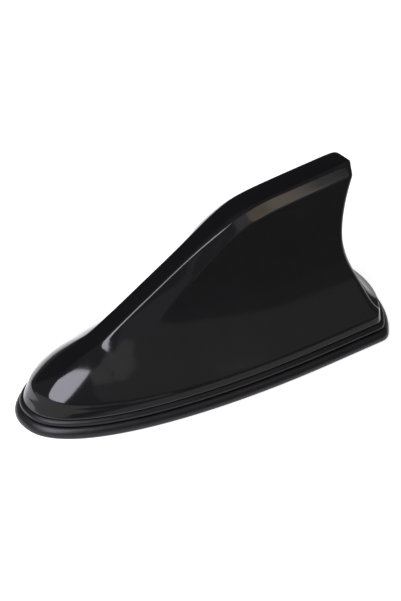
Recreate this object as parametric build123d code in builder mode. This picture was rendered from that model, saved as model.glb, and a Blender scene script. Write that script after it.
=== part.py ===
from build123d import *
import math
import os

# Shark fin aerial: a moulded fin cover on a rubber gasket, with the amplifier and aerial boards inside.
# Millimetres. +X points to the nose, +Y to the left, +Z up. The underside that lies on the car roof is z = 0.

os.makedirs("parts", exist_ok=True)

# Footprint of the gasket, seen from above
nose_x = 80.0
half_width = 36.0
widest_x = -37.0
nose_power = 2.12
side_power = 2.3
stern_centre_x = -30.0
stern_radius = 50.0
corner_radius = 6.0
nose_angles = (90, 75, 60, 45, 31, 19, 9, 0)

# Gasket section
gasket_seat_z = 7.0
bead_profile = ((0.0, 0.9), (0.6, 0.2), (1.6, 0.0), (2.8, 0.4), (3.8, 1.5), (4.5, 3.2))
lip_profile = ((4.2, 2.9), (4.8, 2.1), (5.5, 1.95), (6.2, 2.25), (6.7, 3.1))
seat_inset = 4.2
gasket_inner_inset = 7.0
slot_inset = 5.4
slot_low_z = 2.4
slot_high_z = 4.0

# Fin cover
wall = 2.2
cover_inset = 3.4
skirt_height = 3.0
skirt_side_draft = 0.3
skirt_nose_draft = 0.55
skirt_trim_height = 9.0
fin_overhang = 0.15
fin_nose_setback = 4.4
edge_round = 1.0
crest_half_width = 4.3
crest_crown = 0.35
band_width = 3.2
band_drop = 7.0
band_fade_start_x = 30.0
band_fade_end_x = 60.0

# Crest line of the fin, seen from the side
ramp_x = 41.0
ramp_z = 30.0
ramp_slope = 0.557
tip_x = -68.8
tip_z = 64.7
level_slope = 0.05
bend_softness = 4.0
dome_centre_x = 10.0
dome_height = 20.9
dome_power = 1.6
dome_softness = 1.2

# Flank shape, from hollow at the tail to domed at the nose
tail_hollow = 2.4
nose_hollow = 0.7
foot_round = 0.35
hollow_start_x = -10.0
hollow_end_x = 66.0

# Rear edge of the fin, seen from the side
waist_x = -61.6
waist_z = 37.0
tail_lean_x = -65.4
tail_lean_z = 25.0

# Fan of section planes that carries the loft
fan_x = -100.0
fan_end_x = -84.0
flank_points = 8
flank_crowding = 1.7
crease_search_steps = 40
least_rise = 0.001
crest_stations = (0.35, 1.1, 3.0, 8.5, 18.0, 30.0, 50.0, 70.0, 84.0, 98.0, 120.0, 142.0, 150.0)

# Base plate and pad
pad_thickness = 1.2
plate_thickness = 3.0
plate_clearance = 0.2
flange_clearance = 0.1
pad_clearance = 0.6
rib_thickness = 1.5
rib_height = 2.6

# Lead outlet in the base plate, with its rubber grommet
outlet_x = 38.0
outlet_radius = 4.5
grommet_clearance = 0.1
grommet_flange_radius = 6.2
grommet_flange_height = 1.0
grommet_bore_radius = 2.5
grommet_edge = 0.3
pad_hole_radius = 7.5

# Screws that hold the cover
screw_places = ((58.0, 7.5), (58.0, -7.5), (-46.0, 20.0), (-46.0, -20.0))
boss_radius = 3.3
screw_radius = 1.3
screw_length = 9.0
screw_head_radius = 2.5
screw_head_height = 1.6
screw_clearance = 0.2
pilot_clearance = 0.05
recess_length = 1.3
recess_width = 0.28

# Boards
board_thickness = 1.6
board_rear_x = -44.0
board_front_x = 22.0
board_half_width = 14.0
board_corner = 2.0
standoff_radius = 2.8
standoff_height = 4.0
board_screw_places = ((-38.0, 10.5), (-38.0, -10.5), (16.0, 10.5), (16.0, -10.5))
board_screw_radius = 1.0
board_screw_length = 5.5
board_screw_head_radius = 1.9
board_screw_head_height = 1.2
aerial_thickness = 1.2
aerial_margin = 6.5
tab_length = 6.0
tab_clearance = 0.1
rear_tab_setback = 9.0
track_thickness = 0.2
track_width = 1.6
track_pitch = 4.4
track_turns = 8
track_front_x = -12.0
aerial_crest_xs = (0.0, -12.0, -22.0, -50.0)

# Parts on the amplifier board
can_x = 10.0
can_y = -4.0
can_length = 11.0
can_width = 9.0
can_height = 3.2
can_sheet = 0.3
can_corner = 0.9
chip_length = 4.4
chip_width = 3.6
chip_height = 1.4
chip_edge = 0.3
socket_x = 17.0
socket_y = 4.6
socket_body = 6.0
socket_height = 4.0
socket_edge = 0.5
socket_barrel_radius = 1.8
socket_barrel_length = 4.0
socket_bore_radius = 1.3
socket_pin_radius = 0.4
coil_x = 8.5
coil_y = 7.5
coil_radius = 2.0
coil_height = 3.0
coil_flange = 0.6
coil_winding_radius = 1.6
chip_part_length = 2.0
chip_part_width = 1.25
chip_part_height = 0.9
capacitor_places = ((-8.0, 6.0), (-14.0, 6.0), (-20.0, 6.0), (-11.0, -6.0))
resistor_places = ((-26.0, 6.0), (-20.0, -6.0), (-26.0, -6.0))

# Values worked out from the sizes above
crease_z = gasket_seat_z + skirt_height
crease_inset = cover_inset + skirt_side_draft * skirt_height
upper_nose_x = nose_x - fin_nose_setback
upper_half_width = half_width - crease_inset + fin_overhang
tail_x = stern_centre_x - stern_radius + crease_inset - fin_overhang
plate_low_z = pad_thickness
plate_top_z = plate_low_z + plate_thickness
board_low_z = plate_top_z + standoff_height
board_top_z = board_low_z + board_thickness


def soft_max(first, second, softness):
    """The larger of two heights, with the corner between them rounded."""
    return (first + second + math.sqrt((first - second) ** 2 + softness**2)) / 2


def soft_min(first, second, softness):
    """The smaller of two heights, with the corner between them rounded."""
    return (first + second - math.sqrt((first - second) ** 2 + softness**2)) / 2


def smooth_share(value, start, end):
    """A share that runs smoothly from 0 at start to 1 at end."""
    share = min(max((value - start) / (end - start), 0.0), 1.0)
    return share * share * (3 - 2 * share)


def planform(x, nose, width):
    """Half width of a bullet-shaped outline at x: a superellipse ahead of its widest place."""
    share = max(x - widest_x, 0.0) / (nose - widest_x)
    return width * max(1 - share**nose_power, 0.0) ** (1 / side_power)


def crest_front(inset):
    """The place on the crease plane where the crest strip's edges meet the outline."""
    nose = upper_nose_x - inset
    half = (crest_half_width - inset) / (upper_half_width - inset)
    return widest_x + (nose - widest_x) * (1 - half**side_power) ** (1 / nose_power)


def crest_height(x, inset):
    """Height of the crest edge: a domed nose, a straight ramp, a bend and a nearly level top."""
    front = crest_front(inset)
    drop = inset * math.hypot(1, ramp_slope)
    share = max(x - dome_centre_x, 0.0) / (front - dome_centre_x)
    dome = crease_z + (dome_height - drop) * max(1 - share**2, 0.0) ** (1 / dome_power)
    ramp = ramp_z - drop + ramp_slope * (ramp_x - x)
    level = tip_z - drop + level_slope * (tip_x - x)
    top = soft_min(ramp, level, bend_softness)
    blend = dome_softness * (1 - smooth_share(x, ramp_x, front))
    return min(soft_max(dome, top, blend), level)


def flank_half_width(x, z, inset):
    """Half width of the fin at a height: crest strip, swept band, then the hollow or domed flank."""
    crest = crest_height(x, inset)
    depth = max(crest - z, 0.0)
    share = min((z - crease_z) / max(crest - crease_z, least_rise), 1.0)
    domed = smooth_share(x, hollow_start_x, hollow_end_x)
    hollow = tail_hollow + (nose_hollow - tail_hollow) * domed
    band = band_width * (1 - smooth_share(x, band_fade_start_x, band_fade_end_x))
    edge = crest_half_width - inset
    outline = planform(x, upper_nose_x - inset, upper_half_width - inset)
    flare = max(1 - max(share, 0.0) ** (1 + foot_round * domed), 0.0) ** hollow
    return edge + band * min(depth / band_drop, 1.0) + (outline - edge - band) * flare


def fan_plane(x, z):
    """A section plane through the fan's axis and one point of the crest."""
    angle = math.atan2(z - crease_z, x - fan_x)
    ahead = (math.cos(angle), 0, math.sin(angle))
    normal = (-math.sin(angle), 0, math.cos(angle))
    return Plane(origin=(fan_x, 0, crease_z), x_dir=ahead, z_dir=normal), angle


def band_length(reach, angle, inset):
    """Distance back along a section plane from the crest to the lower crease of the band."""
    low, high = 0.0, reach
    for _ in range(crease_search_steps):
        middle = (low + high) / 2
        x, z = fan_point(reach - middle, angle)
        if crest_height(x, inset) - z < band_drop - inset:
            low = middle
        else:
            high = middle
    return high


def fan_point(reach, angle):
    """The x and z of a point on a section plane, from its distance to the fan's axis."""
    return fan_x + reach * math.cos(angle), crease_z + reach * math.sin(angle)


def fin_section(x, z, inset):
    """Closed outline of the fin on one plane of the fan: crest strip, bands, flanks and rear line."""
    plane, angle = fan_plane(x, z)
    reach = math.hypot(x - fan_x, z - crease_z)
    end = (fan_end_x - fan_x) / math.cos(angle)
    crease = reach - band_length(reach, angle, inset)

    def edge_point(distance):
        """A point of the section's outline on the left side."""
        return distance, flank_half_width(*fan_point(distance, angle), inset)

    edge = (reach, crest_half_width - inset)
    band = [edge, edge_point((reach + crease) / 2), edge_point(crease)]
    shares = [(step / flank_points) ** flank_crowding for step in range(flank_points + 1)]
    flank = [edge_point(crease + (end - crease) * share) for share in shares]
    with BuildSketch(plane) as section:
        with BuildLine():
            Spline(*band)
            Spline(*flank)
            mirror(about=Plane.XZ)
            ThreePointArc(edge, (reach + crest_crown, 0), (edge[0], -edge[1]))
            Line(flank[-1], (flank[-1][0], -flank[-1][1]))
        make_face()
    return section.sketch


def footprint(height, inset, nose_inset):
    """Bullet-shaped outline with a rounded stern, drawn in from the gasket's outer edge."""
    nose = nose_x - nose_inset
    width = half_width - inset
    radius = stern_radius - inset
    corner_x = stern_centre_x - math.sqrt(radius**2 - width**2)
    angles = [math.radians(step) for step in nose_angles]
    points = [
        (
            widest_x + (nose - widest_x) * math.cos(angle) ** (2 / nose_power),
            width * math.sin(angle) ** (2 / side_power),
        )
        for angle in angles
    ]
    with BuildSketch(Plane.XY.offset(height)) as outline:
        with BuildLine():
            Spline(*points, *[(x, -y) for x, y in reversed(points[:-1])])
            Line(points[0], (corner_x, width))
            Line((points[0][0], -width), (corner_x, -width))
            ThreePointArc((corner_x, width), (stern_centre_x - radius, 0), (corner_x, -width))
        make_face()
        fillet(outline.vertices().group_by(Axis.X)[0], radius=corner_radius - inset / 2)
    return outline.sketch


def skirt_outline(height, inset):
    """Outline of the sloping skirt at a height, drawn in by inset; its slope is flatter at the nose."""
    rise = height - gasket_seat_z
    side_inset = cover_inset + skirt_side_draft * rise + inset
    nose_inset = cover_inset + skirt_nose_draft * rise + inset
    return footprint(height, side_inset, nose_inset)


def skirt_collar(inset):
    """Ring outside the skirt's slope, which trims the fin so that the two meet in the crease."""
    with BuildPart() as collar:
        extrude(footprint(crease_z, 0, 0), skirt_trim_height)
        loft(
            [skirt_outline(crease_z, inset), skirt_outline(crease_z + skirt_trim_height, inset)],
            mode=Mode.SUBTRACT,
        )
    return collar.part


def stern_trim(inset):
    """Everything ahead of the fin's rear face, which is the hollow rear edge turned about a post."""
    top = tip_z + wall
    with BuildPart() as trim:
        with BuildSketch(Plane.XZ):
            with BuildLine():
                Spline(
                    (tail_x + inset, crease_z),
                    (tail_lean_x + inset, tail_lean_z),
                    (waist_x + inset, waist_z),
                    (tip_x + inset, tip_z + crest_crown),
                )
                Polyline(
                    (tip_x + inset, tip_z + crest_crown),
                    (tip_x + inset, top),
                    (stern_centre_x, top),
                    (stern_centre_x, crease_z),
                    (tail_x + inset, crease_z),
                )
            make_face()
        revolve(axis=Axis((stern_centre_x, 0, 0), (0, 0, 1)))
        with Locations((stern_centre_x, 0, crease_z)):
            Box(
                nose_x - stern_centre_x,
                2 * half_width,
                top - crease_z,
                align=(Align.MIN, Align.CENTER, Align.MIN),
            )
    return trim.part


def fin_body(inset):
    """The fin drawn in by inset: a loft over the fan, cut off at its rear face and at the skirt's slope."""
    front = crest_front(inset)
    with BuildPart() as body:
        sections = [fin_section(front, crease_z, inset)]
        for station in crest_stations:
            x = front - station
            sections.append(fin_section(x, crest_height(x, inset), inset))
        loft(sections)
        add(stern_trim(inset), mode=Mode.INTERSECT)
        add(skirt_collar(inset), mode=Mode.SUBTRACT)
    return body.part


def drilled(radius, low, high, places):
    """Upright cylinders of one radius between two heights."""
    with BuildPart(Plane.XY.offset(low)) as drills:
        with Locations(*places):
            Cylinder(radius, high - low, align=(Align.CENTER, Align.CENTER, Align.MIN))
    return drills.part


def chip_parts(places):
    """Small surface-mounted blocks on the amplifier board."""
    with BuildPart(Plane.XY.offset(board_top_z)) as blocks:
        with Locations(*places):
            Box(
                chip_part_length,
                chip_part_width,
                chip_part_height,
                align=(Align.CENTER, Align.CENTER, Align.MIN),
            )
    return blocks.part


def cross_screws(places, seat, head_radius, head_height, shank_radius, length, up):
    """Cheese-head screws with a cross recess; up is 1 when the shank points up, -1 when down."""
    with BuildPart(Plane((0, 0, seat), x_dir=(1, 0, 0), z_dir=(0, 0, up))) as screws:
        with Locations(*[(x, y * up) for x, y in places]):
            Cylinder(shank_radius, length, align=(Align.CENTER, Align.CENTER, Align.MIN))
            Cylinder(head_radius, head_height, align=(Align.CENTER, Align.CENTER, Align.MAX))
            with Locations((0, 0, -head_height)):
                for turn in (0, 90):
                    Box(
                        recess_length * head_radius,
                        recess_width * head_radius,
                        head_height,
                        rotation=(0, 0, turn),
                        align=(Align.CENTER, Align.CENTER, Align.CENTER),
                        mode=Mode.SUBTRACT,
                    )
    return screws.part


# Fin cover: lofted fin on a creased skirt, hollow, with four screw bosses
with BuildPart() as fin_outside:
    add(fin_body(0))
    crest_strip = fin_outside.faces().sort_by(Axis.Z)[-1]
    rear_face = fin_outside.faces().filter_by(GeomType.REVOLUTION)[0]
    crest_edges = crest_strip.edges().filter_by(lambda edge: edge.bounding_box().max.Z > waist_z)
    rear_edges = rear_face.edges().filter_by(lambda edge: waist_z < edge.bounding_box().max.Z < tip_z)
    fillet(crest_edges + rear_edges, radius=edge_round)
with BuildPart() as cover_shell:
    add(fin_outside.part)
    loft([skirt_outline(gasket_seat_z, 0), skirt_outline(crease_z, 0)])
    add(fin_body(wall), mode=Mode.SUBTRACT)
    loft([skirt_outline(gasket_seat_z, wall), skirt_outline(crease_z, wall)], mode=Mode.SUBTRACT)
with BuildPart() as bosses:
    add(drilled(boss_radius, plate_top_z, tip_z, screw_places))
    add(fin_body(wall / 2), mode=Mode.INTERSECT)
    add(drilled(boss_radius, plate_top_z, crease_z, screw_places))
with BuildPart() as fin_cover:
    add(cover_shell.part)
    add(bosses.part)
    pilot_top = plate_low_z + screw_head_height + screw_length + screw_clearance
    add(drilled(screw_radius + pilot_clearance, plate_top_z, pilot_top, screw_places), mode=Mode.SUBTRACT)
fin_cover.part.label = "fin_cover"
export_step(fin_cover.part, "parts/fin_cover.step")

# Rubber gasket: round bead on the roof, a groove, then a lip under the cover
with BuildPart() as rubber_gasket:
    loft([footprint(height, inset, inset) for height, inset in bead_profile])
    loft([footprint(height, inset, inset) for height, inset in lip_profile])
    lip_low_z = lip_profile[0][0]
    extrude(footprint(lip_low_z, seat_inset, seat_inset), gasket_seat_z - lip_low_z)
    inner = footprint(0, gasket_inner_inset, gasket_inner_inset)
    extrude(inner, gasket_seat_z, mode=Mode.SUBTRACT)
    slot = footprint(slot_low_z, slot_inset, slot_inset)
    extrude(slot, slot_high_z - slot_low_z, mode=Mode.SUBTRACT)
rubber_gasket.part.label = "rubber_gasket"
export_step(rubber_gasket.part, "parts/rubber_gasket.step")

# Base plate: flange in the gasket's slot, stiffening rib, board stand-offs, outlet and screw holes
with BuildPart() as base_plate:
    plate_inset = gasket_inner_inset + plate_clearance
    extrude(footprint(plate_low_z, plate_inset, plate_inset), plate_thickness + rib_height)
    rib_inset = plate_inset + rib_thickness
    extrude(footprint(plate_top_z, rib_inset, rib_inset), rib_height, mode=Mode.SUBTRACT)
    flange_inset = slot_inset + flange_clearance
    flange = footprint(slot_low_z + flange_clearance, flange_inset, flange_inset)
    extrude(flange, slot_high_z - slot_low_z - 2 * flange_clearance)
    add(drilled(standoff_radius, plate_top_z, board_low_z, board_screw_places))
    board_pilot_low = board_top_z - board_screw_length - screw_clearance
    board_pilot = drilled(board_screw_radius + pilot_clearance, board_pilot_low, board_low_z, board_screw_places)
    add(board_pilot, mode=Mode.SUBTRACT)
    add(drilled(outlet_radius, plate_low_z, plate_top_z, ((outlet_x, 0),)), mode=Mode.SUBTRACT)
    add(
        drilled(screw_radius + screw_clearance, plate_low_z, plate_top_z, screw_places),
        mode=Mode.SUBTRACT,
    )
    head_room = drilled(
        screw_head_radius + screw_clearance,
        plate_low_z,
        plate_low_z + screw_head_height,
        screw_places,
    )
    add(head_room, mode=Mode.SUBTRACT)
base_plate.part.label = "base_plate"
export_step(base_plate.part, "parts/base_plate.step")

# Adhesive foam pad, die cut to the plate with a hole round the outlet
with BuildPart() as adhesive_pad:
    pad_inset = gasket_inner_inset + pad_clearance
    extrude(footprint(0, pad_inset, pad_inset), pad_thickness)
    add(drilled(pad_hole_radius, 0, pad_thickness, ((outlet_x, 0),)), mode=Mode.SUBTRACT)
adhesive_pad.part.label = "adhesive_pad"
export_step(adhesive_pad.part, "parts/adhesive_pad.step")

# Rubber grommet that lines the lead outlet
with BuildPart(Plane.XY.offset(plate_low_z)) as lead_grommet:
    with Locations((outlet_x, 0)):
        Cylinder(
            outlet_radius - grommet_clearance,
            plate_thickness,
            align=(Align.CENTER, Align.CENTER, Align.MIN),
        )
        Cylinder(
            grommet_flange_radius,
            grommet_flange_height,
            align=(Align.CENTER, Align.CENTER, Align.MAX),
        )
    with Locations((outlet_x, 0, plate_thickness)):
        Cylinder(
            grommet_flange_radius,
            grommet_flange_height,
            align=(Align.CENTER, Align.CENTER, Align.MIN),
        )
    chamfer(lead_grommet.edges().group_by(Axis.Z)[0], length=grommet_edge)
    chamfer(lead_grommet.edges().group_by(Axis.Z)[-1], length=grommet_edge)
    with Locations((outlet_x, 0)):
        Hole(grommet_bore_radius)
lead_grommet.part.label = "lead_grommet"
export_step(lead_grommet.part, "parts/lead_grommet.step")

# Screws from below into the cover's bosses
cover_screws = cross_screws(
    screw_places,
    plate_low_z + screw_head_height,
    screw_head_radius,
    screw_head_height,
    screw_radius,
    screw_length,
    1,
)
cover_screws.label = "cover_screws"
export_step(cover_screws, "parts/cover_screws.step")

# Amplifier board on the stand-offs, with slots for the aerial board's tabs
tab_places = (aerial_crest_xs[0] - tab_length, board_rear_x + rear_tab_setback)
with BuildPart() as amplifier_board:
    with BuildSketch(Plane.XY.offset(board_low_z)):
        with Locations(((board_rear_x + board_front_x) / 2, 0)):
            RectangleRounded(board_front_x - board_rear_x, 2 * board_half_width, board_corner)
        with Locations(*[(x, 0) for x in tab_places]):
            Rectangle(
                tab_length + 2 * tab_clearance,
                aerial_thickness + 2 * tab_clearance,
                mode=Mode.SUBTRACT,
            )
        with Locations(*board_screw_places):
            Circle(board_screw_radius + screw_clearance, mode=Mode.SUBTRACT)
    extrude(amount=board_thickness)
amplifier_board.part.label = "amplifier_board"
export_step(amplifier_board.part, "parts/amplifier_board.step")

# Screws that hold the board
board_screws = cross_screws(
    board_screw_places,
    board_top_z,
    board_screw_head_radius,
    board_screw_head_height,
    board_screw_radius,
    board_screw_length,
    -1,
)
board_screws.label = "board_screws"
export_step(board_screws, "parts/board_screws.step")

# Upright aerial board that fills the fin, following the crest at a margin
with BuildPart() as aerial_board:
    with BuildSketch(Plane.XZ.offset(-aerial_thickness / 2)):
        with BuildLine():
            Polyline(
                (tab_places[0] + tab_length, board_top_z),
                *[(x, crest_height(x, 0) - aerial_margin) for x in aerial_crest_xs],
                (aerial_crest_xs[-1], waist_z),
                (tab_places[1] - tab_length, board_top_z),
                close=True,
            )
        make_face()
        with Locations(*[(x, board_top_z) for x in tab_places]):
            Rectangle(tab_length, board_thickness, align=(Align.CENTER, Align.MAX))
    extrude(amount=aerial_thickness)
aerial_board.part.label = "aerial_board"
export_step(aerial_board.part, "parts/aerial_board.step")

# Copper track that zigzags up the aerial board
with BuildPart() as aerial_track:
    track_rear_x = tab_places[1]
    with BuildSketch(Plane.XZ.offset(-aerial_thickness / 2)):
        for turn in range(track_turns):
            low = board_top_z + track_width + turn * track_pitch
            with Locations(((track_front_x + track_rear_x) / 2, low)):
                Rectangle(track_front_x - track_rear_x, track_width)
            end = track_front_x if turn % 2 else track_rear_x
            with Locations((end, low - track_width / 2)):
                Rectangle(track_width, track_pitch + track_width, align=(Align.CENTER, Align.MIN))
    extrude(amount=-track_thickness)
aerial_track.part.label = "aerial_track"
export_step(aerial_track.part, "parts/aerial_track.step")

# Pressed tin can over the amplifier chip
with BuildPart(Plane.XY.offset(board_top_z)) as shield_can:
    with Locations((can_x, can_y)):
        Box(can_length, can_width, can_height, align=(Align.CENTER, Align.CENTER, Align.MIN))
    fillet(shield_can.edges().filter_by(Axis.Z), radius=can_corner)
    offset(amount=-can_sheet, openings=shield_can.faces().sort_by(Axis.Z)[0])
shield_can.part.label = "shield_can"
export_step(shield_can.part, "parts/shield_can.step")

# Amplifier chip under the can
with BuildPart(Plane.XY.offset(board_top_z)) as amplifier_chip:
    with Locations((can_x, can_y)):
        Box(chip_length, chip_width, chip_height, align=(Align.CENTER, Align.CENTER, Align.MIN))
    chamfer(amplifier_chip.edges().group_by(Axis.Z)[-1], length=chip_edge)
amplifier_chip.part.label = "amplifier_chip"
export_step(amplifier_chip.part, "parts/amplifier_chip.step")

# Coaxial socket for the lead, facing the outlet
with BuildPart(Plane.XY.offset(board_top_z)) as lead_socket:
    with Locations((socket_x, socket_y)):
        Box(socket_body, socket_body, socket_height, align=(Align.CENTER, Align.CENTER, Align.MIN))
    chamfer(lead_socket.edges().group_by(Axis.Z)[-1], length=socket_edge)
    front_x = socket_x + socket_body / 2
    barrel_z = board_top_z + socket_height / 2
    with BuildSketch(Plane((front_x, socket_y, barrel_z), z_dir=(1, 0, 0))):
        Circle(socket_barrel_radius)
        Circle(socket_bore_radius, mode=Mode.SUBTRACT)
    extrude(amount=socket_barrel_length)
    with BuildSketch(Plane((front_x, socket_y, barrel_z), z_dir=(1, 0, 0))):
        Circle(socket_pin_radius)
    extrude(amount=socket_barrel_length)
lead_socket.part.label = "lead_socket"
export_step(lead_socket.part, "parts/lead_socket.step")

# Wound matching coil: a flanged bobbin
coil_seat = (coil_x, coil_y, board_top_z)
with BuildPart() as matching_coil:
    with BuildSketch(Plane(coil_seat, x_dir=(1, 0, 0), z_dir=(0, -1, 0))):
        with BuildLine():
            Polyline(
                (0, 0),
                (coil_radius, 0),
                (coil_radius, coil_flange),
                (coil_winding_radius, coil_flange),
                (coil_winding_radius, coil_height - coil_flange),
                (coil_radius, coil_height - coil_flange),
                (coil_radius, coil_height),
                (0, coil_height),
                close=True,
            )
        make_face()
    revolve(axis=Axis(coil_seat, (0, 0, 1)))
matching_coil.part.label = "matching_coil"
export_step(matching_coil.part, "parts/matching_coil.step")

# Surface-mounted capacitors and resistors
capacitors = chip_parts(capacitor_places)
capacitors.label = "capacitors"
export_step(capacitors, "parts/capacitors.step")
resistors = chip_parts(resistor_places)
resistors.label = "resistors"
export_step(resistors, "parts/resistors.step")
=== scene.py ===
import logging
import math
from dataclasses import dataclass, field
from enum import Enum
from typing import Callable

import bmesh
import bpy
import numpy as np
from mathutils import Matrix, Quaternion, Vector


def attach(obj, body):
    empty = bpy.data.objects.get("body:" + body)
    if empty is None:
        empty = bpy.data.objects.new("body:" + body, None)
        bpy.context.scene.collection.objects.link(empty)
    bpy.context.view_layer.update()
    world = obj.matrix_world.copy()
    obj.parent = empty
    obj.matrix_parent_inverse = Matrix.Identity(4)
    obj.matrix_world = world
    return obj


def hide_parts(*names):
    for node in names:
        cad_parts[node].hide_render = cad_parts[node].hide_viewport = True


# Shark fin aerial: the looks of a gloss moulded fin cover on a black rubber gasket.
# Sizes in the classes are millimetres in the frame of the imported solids: +X to the nose, +Y left, +Z up.

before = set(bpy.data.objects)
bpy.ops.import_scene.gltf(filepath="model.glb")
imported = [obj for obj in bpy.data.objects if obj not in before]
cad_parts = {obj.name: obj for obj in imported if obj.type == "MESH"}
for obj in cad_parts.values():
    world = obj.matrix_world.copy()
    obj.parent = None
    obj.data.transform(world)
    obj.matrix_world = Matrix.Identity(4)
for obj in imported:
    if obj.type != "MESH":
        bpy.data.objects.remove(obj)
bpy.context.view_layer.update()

LOG = logging.getLogger("aerial")
Array = np.ndarray
Colour = tuple[float, float, float, float]
Pair = tuple[float, float]
Place = tuple[float, float, float]

MM = 0.001
# A length that keeps a division away from zero
TINY = 0.001
# Height of the crease between the cover's skirt and its fin
CREASE_Z = 10.0
# Watts of an area lamp for each unit of radiance and of area, because the renderer divides them by four
LAMP_WATTS = 4.0
# Layers in the noise of the colour clouds and of the grain, and the values that most noise lies between
CLOUD_DETAIL = 3.0
GRAIN_DETAIL = 2.0
NOISE_SPAN = (0.3, 0.7)
# A wave texture of scale 1 repeats after this length
WAVE_REPEAT = math.pi / 10
# Scratches run along the object, so their noise is drawn out that way
SCRATCH_SCALE = (0.08, 1.0, 1.0)
EVEN_SCALE = (1.0, 1.0, 1.0)


class Slot(Enum):
    """Material slots of the record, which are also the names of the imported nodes."""

    FIN_COVER = "fin_cover"
    RUBBER_GASKET = "rubber_gasket"
    BASE_PLATE = "base_plate"
    ADHESIVE_PAD = "adhesive_pad"
    LEAD_GROMMET = "lead_grommet"
    COVER_SCREWS = "cover_screws"
    AMPLIFIER_BOARD = "amplifier_board"
    BOARD_SCREWS = "board_screws"
    AERIAL_BOARD = "aerial_board"
    AERIAL_TRACK = "aerial_track"
    SHIELD_CAN = "shield_can"
    AMPLIFIER_CHIP = "amplifier_chip"
    LEAD_SOCKET = "lead_socket"
    MATCHING_COIL = "matching_coil"
    CAPACITORS = "capacitors"
    RESISTORS = "resistors"


class Pattern(Enum):
    """How the fine relief of a finish is laid out."""

    MOTTLE = "cloudy grain"
    CELLS = "round cells"
    WEAVE = "crossed threads"
    SCRATCH = "long scratches"
    TURNS = "turns of wire"


def linear(code: str) -> Colour:
    """Turns an sRGB hex colour into linear light, by the standard curve.

    Args:
        code: Colour as a hash sign and six hex digits.

    Returns:
        Red, green, blue and an alpha of 1.
    """
    parts = [int(code[at : at + 2], 16) / 255 for at in (1, 3, 5)]
    light = [part / 12.92 if part <= 0.04045 else ((part + 0.055) / 1.055) ** 2.4 for part in parts]
    return light[0], light[1], light[2], 1.0


def blank_material(name: str) -> bpy.types.Material:
    """Makes a material whose node tree is still empty.

    Args:
        name: Name of the material.

    Returns:
        The new material.
    """
    material = bpy.data.materials.new(name)
    material.use_nodes = True
    material.node_tree.nodes.clear()
    return material


def add_node(
    tree: bpy.types.NodeTree, kind: str, inputs: dict | None = None, **settings
) -> bpy.types.Node:
    """Adds one shader node with its settings, values and links.

    Args:
        tree: Node tree that gets the node.
        kind: Blender's type name of the node.
        inputs: Values, or output sockets to link, by the name or number of the input.
        **settings: Properties of the node itself.

    Returns:
        The new node.
    """
    node = tree.nodes.new(kind)
    for name, value in settings.items():
        setattr(node, name, value)
    for name, value in (inputs or {}).items():
        if isinstance(value, bpy.types.NodeSocket):
            tree.links.new(value, node.inputs[name])
        else:
            node.inputs[name].default_value = value
    return node


@dataclass(frozen=True)
class Finish:
    """A moulded, plated or woven surface with cloudy colour, uneven gloss and a fine relief.

    The lengths are sizes on the surface: patch_mm is how wide the clouds of colour are, grain_mm how far the
    marks of the relief stand apart, and relief_mm how deep they are.
    """

    name: str
    colour: str
    tint: str
    roughness: Pair
    patch_mm: float = 8.0
    grain_mm: float = 0.5
    relief_mm: float = 0.004
    pattern: Pattern = Pattern.MOTTLE
    metallic: float = 0.0
    ior: float = 1.5
    specular: float = 0.5

    def build(self) -> bpy.types.Material:
        """Makes the material from Object coordinates.

        Returns:
            The material, named for the real one.
        """
        material = blank_material(self.name)
        tree = material.node_tree
        place = add_node(tree, "ShaderNodeTexCoord").outputs["Object"]
        cloud = add_node(
            tree,
            "ShaderNodeTexNoise",
            {"Vector": place, "Scale": 1 / (self.patch_mm * MM), "Detail": CLOUD_DETAIL},
        ).outputs["Fac"]
        # Sockets 6, 7 and 2 are the two colours and the mixed one.
        colour = add_node(
            tree,
            "ShaderNodeMix",
            {"Factor": cloud, 6: linear(self.colour), 7: linear(self.tint)},
            data_type="RGBA",
        ).outputs[2]
        gloss = add_node(
            tree,
            "ShaderNodeMapRange",
            {
                "Value": cloud,
                "From Min": NOISE_SPAN[0],
                "From Max": NOISE_SPAN[1],
                "To Min": self.roughness[0],
                "To Max": self.roughness[1],
            },
        ).outputs["Result"]
        bump = add_node(
            tree,
            "ShaderNodeBump",
            {"Height": self.relief(tree, place), "Distance": self.relief_mm * MM, "Strength": 1.0},
        ).outputs["Normal"]
        shader = add_node(
            tree,
            "ShaderNodeBsdfPrincipled",
            {
                "Base Color": colour,
                "Roughness": gloss,
                "Normal": bump,
                "Metallic": self.metallic,
                "IOR": self.ior,
                "Specular IOR Level": self.specular,
            },
        )
        add_node(tree, "ShaderNodeOutputMaterial", {"Surface": shader.outputs["BSDF"]})
        return material

    def relief(self, tree: bpy.types.NodeTree, place: bpy.types.NodeSocket) -> bpy.types.NodeSocket:
        """Adds the height pattern of the surface: cells, waves along one or three axes, or noise.

        Args:
            tree: Node tree of the material.
            place: Object coordinates.

        Returns:
            The socket that carries the height, from 0 to 1.
        """
        scale = 1 / (self.grain_mm * MM)
        if self.pattern is Pattern.CELLS:
            cells = {"Vector": place, "Scale": scale}
            return add_node(tree, "ShaderNodeTexVoronoi", cells).outputs["Distance"]
        if self.pattern in (Pattern.WEAVE, Pattern.TURNS):
            wave = {"Vector": place, "Scale": scale * WAVE_REPEAT}
            height, *others = [
                add_node(tree, "ShaderNodeTexWave", wave, bands_direction=way).outputs["Fac"]
                for way in ("XYZ" if self.pattern is Pattern.WEAVE else "Z")
            ]
            for thread in others:
                pair = {0: height, 1: thread}
                height = add_node(tree, "ShaderNodeMath", pair, operation="MAXIMUM").outputs[0]
            return height
        stretch = SCRATCH_SCALE if self.pattern is Pattern.SCRATCH else EVEN_SCALE
        drawn = add_node(tree, "ShaderNodeMapping", {"Vector": place, "Scale": stretch}).outputs["Vector"]
        grain = {"Vector": drawn, "Scale": scale, "Detail": GRAIN_DETAIL}
        return add_node(tree, "ShaderNodeTexNoise", grain).outputs["Fac"]


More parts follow.
